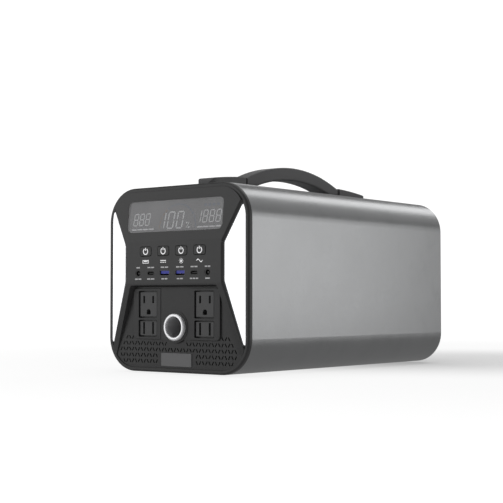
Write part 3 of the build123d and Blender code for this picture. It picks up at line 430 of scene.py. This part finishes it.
def alternating_current_sign():
    """One sine wave as a band."""
    steps = 28
    crest = (LABEL_H - LABEL_STROKE * 1.4) / 2
    across = [WAVE_W * (step / steps - 0.5) for step in range(steps + 1)]
    wave = [(u, crest * sin(2 * pi * (u / WAVE_W + 0.5))) for u in across]
    lower = [(u, v - LABEL_STROKE * 0.8) for u, v in wave]
    upper = [(u, v + LABEL_STROKE * 0.8) for u, v in reversed(wave)]
    return [lower + upper]


def dashes(width, parts):
    """A row of short dashes, as wide as given, in place of small print."""
    each = (width - PORT_MARK_GAP * (parts - 1)) / parts
    start = -(width - each) / 2
    return [bar(start + step * (each + PORT_MARK_GAP), 0, each, PORT_MARK_H) for step in range(parts)]


def make_button_marks():
    """The power sign on each button, which moves with it, and the sign below it on the panel."""
    signs = {
        "usb_button": port_sign(),
        "dc_button": direct_current_sign(),
        "light_button": light_sign(),
        "ac_button": alternating_current_sign(),
    }
    band_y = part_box("front_panel")[0].y
    for button, sign in signs.items():
        face = middle(button)
        face.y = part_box(button)[0].y
        printed(button + "_icon", power_icon(), face, FRONT, button, WHITE_PRINT_PAINTED_GLOW)
        below = Vector((face.x, band_y, face.z - LABEL_DROP))
        printed(button + "_sign", sign, below, FRONT, "case", WHITE_PRINT_PAINTED_GLOW)


def make_port_marks():
    """Rows of dashes over and under each port, as (width in mm, number of dashes)."""
    band_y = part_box("front_panel")[0].y
    jack_low, jack_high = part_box("dc_jacks")
    height = middle("left_usb_a_port").z
    ports = [
        ("left_jack", jack_low.x + JACK_INSET, (5, 1), (9, 2)),
        ("left_usb_c", middle("left_usb_c_port").x, (9, 2), (10, 2)),
        ("left_usb_a", middle("left_usb_a_port").x, (10, 2), (8, 2)),
        ("right_usb_a", middle("right_usb_a_port").x, (10, 2), (8, 2)),
        ("right_usb_c", middle("right_usb_c_port").x, (9, 2), (11, 3)),
        ("right_jack", jack_high.x - JACK_INSET, (7, 2), (6, 1)),
    ]
    for name, x, above, below in ports:
        rows = (("upper", PORT_MARK_RISE, above), ("lower", -PORT_MARK_RISE, below))
        for word, rise, (width, parts) in rows:
            spot = Vector((x, band_y, height + rise))
            marks = dashes(width * MM, parts)
            printed(f"{name}_{word}_mark", marks, spot, FRONT, "case", GREY_PRINT)


# ---- display ----
SEGMENTS_OF = {"0": "abcdef", "1": "bc", "8": "abcdefg"}


def pointed_bar(end, half):
    """Level bar about its middle, pointed at both ends."""
    inner = end - half
    return [(-end, 0), (-inner, -half), (inner, -half), (end, 0), (inner, half), (-inner, half)]


def digit(shape, width, height, stroke):
    """Slanted seven-segment digit about its middle."""
    gap = stroke * 0.18
    reach = height / 2
    level = width - stroke
    upright = reach - stroke / 2
    tips = {"a": (0, reach - stroke / 2), "g": (0, 0), "d": (0, stroke / 2 - reach)}
    sides = {
        "f": (-level / 2, upright / 2),
        "b": (level / 2, upright / 2),
        "e": (-level / 2, -upright / 2),
        "c": (level / 2, -upright / 2),
    }
    outlines = []
    for segment in SEGMENTS_OF[shape]:
        if segment in tips:
            x, y = tips[segment]
            line = pointed_bar(level / 2 - gap, stroke / 2)
        else:
            x, y = sides[segment]
            line = [(-v, u) for u, v in pointed_bar(upright / 2 - gap, stroke / 2)]
        outlines.append([(x + u + SLANT * (y + v), y + v) for u, v in line])
    return outlines


def number(text, start, size, pitch):
    """Digits from left to right, from the middle of the first."""
    x, y = start
    outlines = []
    for place, shape in enumerate(text):
        outlines += shifted(digit(shape, *size), x + place * pitch, y)
    return outlines


def percent_sign():
    """A leaning bar between two dots."""
    x, y = PERCENT
    aside, rise = PERCENT_DOT_OFFSET
    dots = [disc(x - s * aside, y + s * rise, PERCENT_DOT_R) for s in (1, -1)]
    return dots + [turned_bar(x, y, *PERCENT_BAR, radians(62))]


def make_display():
    """Lit digits, the lines at their foot and the unlit gauge around the middle ones."""
    face, normal = flat_face("display_module", FRONT)
    shown = number("888", LEFT_DIGITS, SMALL_DIGIT, LEFT_PITCH)
    shown += number("100", MIDDLE_DIGITS, LARGE_DIGIT, MIDDLE_PITCH)
    shown += number("1888", RIGHT_DIGITS, SMALL_DIGIT, RIGHT_PITCH)
    shown += percent_sign()
    for start in FOOT_LINE_STARTS:
        shown += [bar(start + step * FOOT_LINE_PITCH, FOOT_LINE_HEIGHT, *FOOT_LINE) for step in range(4)]
    printed("display_digits", shown, face, normal, "case", SEGMENT, SEGMENT_T)
    warm = []
    start, height = UNIT_MARK_START
    cool = [bar(start + step * UNIT_MARK_PITCH, height, *UNIT_MARK) for step in range(4)]
    each = pi / GAUGE_STEPS
    half = each * TICK_SHARE / 2
    for step in range(GAUGE_STEPS):
        angle = pi - (step + 0.5) * each
        tick = arc_band(*GAUGE_MIDDLE, GAUGE_R - GAUGE_T, GAUGE_R, angle - half, angle + half, 3)
        if step < GAUGE_STEPS // 3:
            warm.append(tick)
        else:
            cool.append(tick)
    printed("display_gauge_low", warm, face, normal, "case", WARM_SEGMENT, SEGMENT_T)
    printed("display_gauge_high", cool, face, normal, "case", COOL_SEGMENT, SEGMENT_T)


def make_display_border():
    """Ring in the cell's colour on the ledge behind the window's edge."""
    low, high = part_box("display_window")
    face, normal = flat_face("display_window", FRONT)
    width = high.x - low.x
    height = (high.z - low.z - WINDOW_T * abs(normal.z)) / abs(normal.y)
    across, rise = width / 2 - BORDER_R, height / 2 - BORDER_R
    side, level = (width - BORDER_W) / 2, (height - BORDER_W) / 2
    rails = [bar(0, s * level, 2 * across, BORDER_W) for s in (-1, 1)]
    rails += [bar(s * side, 0, BORDER_W, 2 * rise) for s in (-1, 1)]
    for step, (x, y) in enumerate(((across, rise), (-across, rise), (-across, -rise), (across, -rise))):
        start = step * pi / 2
        rails.append(arc_band(x, y, BORDER_R - BORDER_W, BORDER_R, start, start + pi / 2, 8))
    ledge = face - normal * (WINDOW_T + LEDGE_GAP)
    printed("display_border", rails, ledge, normal, "case", CELL_BORDER, BORDER_T)


def make_usb_contacts():
    """Four gold pads on the underside of each USB tongue."""
    low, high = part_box("usb_a_tongues")
    pads = []
    for port in ("left_usb_a_port", "right_usb_a_port"):
        pads += [bar(middle(port).x + place, 0, *PAD) for place in PAD_PLACES]
    spot = Vector((0, (low.y + high.y) / 2 - PAD_SETBACK, low.z))
    printed("usb_a_contacts", pads, spot, -UP, "case", GOLD_PAD)


def make_vent_foam():
    """Dust foam behind the front vents, cut around the outlets and the 12 V socket's nut."""
    low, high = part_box("vent_panel")
    nut_low, nut_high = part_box("car_socket_nut")
    outlet_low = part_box("left_flat_outlet")[0]
    foot = low.z + 2 * FOAM_CLEAR
    under_nut = nut_low.z - FOAM_CLEAR
    beside_nut = nut_high.x + FOAM_CLEAR
    under_outlet = outlet_low.z - FOAM_CLEAR
    beside_outlet = 1.5 * FOAM_CLEAR - outlet_low.x
    shoulder = under_outlet + FOAM_STEP
    # the right half runs from the notch under the nut, over the outlet's side, to the foot
    right = [(beside_nut, under_nut), (beside_nut, under_outlet), (beside_outlet, under_outlet)]
    right += [(beside_outlet, shoulder), (FOAM_SHOULDER_X, shoulder), (FOAM_FOOT_X, foot)]
    outline = [(-x, z) for x, z in reversed(right)] + right
    spot = Vector((0, high.y + FOAM_GAP + FOAM_T, 0))
    printed("vent_foam", [outline], spot, FRONT, "case", DARK_FOAM, FOAM_T, 0)


def make_rear_signs():
    """A sign over the mains inlet and one over the solar inlets."""
    cover_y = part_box("rear_cover")[1].y
    signs = (
        ("charge_sign", "charge_inlet", alternating_current_sign()),
        ("solar_sign", "solar_inlets", light_sign()),
    )
    for name, inlet, sign in signs:
        spot = middle(inlet)
        place = Vector((spot.x, cover_y, spot.z + REAR_SIGN_RISE))
        printed(name, sign, place, REAR, "case", WHITE_PRINT_PAINTED_GLOW)


# ---- studio ----
def make_camera():
    """Level with the lower half of the front, to its right."""
    data = bpy.data.cameras.new("camera")
    data.lens = LENS_MM
    data.sensor_width = 36
    data.clip_start = 0.01
    data.clip_end = 100
    camera = bpy.data.objects.new("camera", data)
    bpy.context.scene.collection.objects.link(camera)
    camera.location = EYE
    ahead = Vector((-sin(HEADING) * cos(PITCH), cos(HEADING) * cos(PITCH), sin(PITCH)))
    camera.rotation_euler = ahead.to_track_quat("-Z", "Y").to_euler()
    bpy.context.scene.camera = camera


def softbox(name, place, target, width, height, radiance):
    """Rectangular area light of even radiance, hidden from the camera itself."""
    data = bpy.data.lights.new(name, "AREA")
    data.shape = "RECTANGLE"
    data.size = width
    data.size_y = height
    data.energy = radiance * width * height * pi
    light = bpy.data.objects.new(name, data)
    bpy.context.scene.collection.objects.link(light)
    light.location = place
    aim = Vector(target) - Vector(place)
    light.rotation_euler = aim.to_track_quat("-Z", "Y").to_euler()
    light.visible_camera = False


def make_lights():
    """Soft light from the front left, low right, above and behind."""
    softbox("key_front_left", (-1.5, -1.7, 0.55), (0, -0.1, 0.1), 1.8, 1.5, 1.15)
    softbox("side_right", (1.59, 1.05, 0.22), (0.05, -0.05, 0.12), 1.7, 0.62, 1.08)
    softbox("top_rear", (-0.1, 2.6, 1.85), (0, 0, 0.18), 1.0, 1.5, 1.5)
    softbox("rear_fill", (0.9, 2.4, 1.7), (0, 0, 0.18), 1.6, 1.4, 0.16)
    softbox("overhead", (0, -0.2, 1.9), (0, 0, 0), 1.8, 1.8, 1.2)
    softbox("rear_left", (-1.6, 1.2, 0.6), (0, 0.1, 0.1), 1.4, 1.0, 0.7)


def make_world():
    """White to the camera, dim grey to the object."""
    world = bpy.data.worlds.new("studio")
    bpy.context.scene.world = world
    world.use_nodes = True
    tree = world.node_tree
    tree.nodes.clear()
    rays = tree.nodes.new("ShaderNodeLightPath")
    seen = tree.nodes.new("ShaderNodeBackground")
    seen.inputs["Strength"].default_value = WHITE_GLOW
    seen.inputs["Color"].default_value = (1, 1, 1, 1)
    fill = tree.nodes.new("ShaderNodeBackground")
    fill.inputs["Color"].default_value = (1, 1, 1, 1)
    fill.inputs["Strength"].default_value = 0.24
    choice = tree.nodes.new("ShaderNodeMixShader")
    output = tree.nodes.new("ShaderNodeOutputWorld")
    tree.links.new(rays.outputs["Is Camera Ray"], choice.inputs["Fac"])
    tree.links.new(fill.outputs["Background"], choice.inputs[1])
    tree.links.new(seen.outputs["Background"], choice.inputs[2])
    tree.links.new(choice.outputs["Shader"], output.inputs["Surface"])


def make_floor():
    """Large pale floor with painted shade: its white glow is lowered around and behind the object, and plain
    white away from it.
    """
    mesh = bmesh.new()
    bmesh.ops.create_circle(mesh, cap_ends=True, segments=96, radius=FLOOR_R)
    data = bpy.data.meshes.new("floor")
    mesh.to_mesh(data)
    mesh.free()
    floor = bpy.data.objects.new("floor", data)
    bpy.context.scene.collection.objects.link(floor)
    floor.visible_glossy = False
    material = bpy.data.materials.new("floor")
    material.use_nodes = True
    tree = material.node_tree
    tree.nodes.clear()
    matt = tree.nodes.new("ShaderNodeBsdfDiffuse")
    matt.inputs["Color"].default_value = (0.90, 0.90, 0.90, 1)
    white = tree.nodes.new("ShaderNodeEmission")
    white.inputs["Strength"].default_value = WHITE_GLOW
    place = tree.nodes.new("ShaderNodeTexCoord")
    reach = tree.nodes.new("ShaderNodeVectorMath")
    reach.operation = "DISTANCE"
    reach.inputs[1].default_value = SHADE_SPOT
    far = tree.nodes.new("ShaderNodeMapRange")
    far.inputs["From Max"].default_value = SHADE_REACH
    # painted shade: the share of white glow is smallest near SHADE_SPOT and grows to full white with distance
    share = tree.nodes.new("ShaderNodeValToRGB")
    share.color_ramp.interpolation = "EASE"
    share.color_ramp.elements[0].position = 0.06
    share.color_ramp.elements[0].color = (0.30, 0.30, 0.30, 1)
    share.color_ramp.elements[1].position = 0.95
    near = share.color_ramp.elements.new(0.27)
    near.color = (0.76, 0.76, 0.76, 1)
    mix = tree.nodes.new("ShaderNodeMixShader")
    output = tree.nodes.new("ShaderNodeOutputMaterial")
    tree.links.new(place.outputs["Object"], reach.inputs[0])
    tree.links.new(reach.outputs["Value"], far.inputs["Value"])
    tree.links.new(far.outputs["Result"], share.inputs["Fac"])
    tree.links.new(share.outputs["Color"], mix.inputs["Fac"])
    tree.links.new(matt.outputs["BSDF"], mix.inputs[1])
    tree.links.new(white.outputs["Emission"], mix.inputs[2])
    tree.links.new(mix.outputs["Shader"], output.inputs["Surface"])
    data.materials.append(material)


make_camera()
make_world()
make_lights()
make_floor()
dress_cad_nodes()
make_button_marks()
make_port_marks()
make_display()
make_display_border()
make_usb_contacts()
make_vent_foam()
make_rear_signs()
bpy.context.scene.view_settings.view_transform = "Standard"
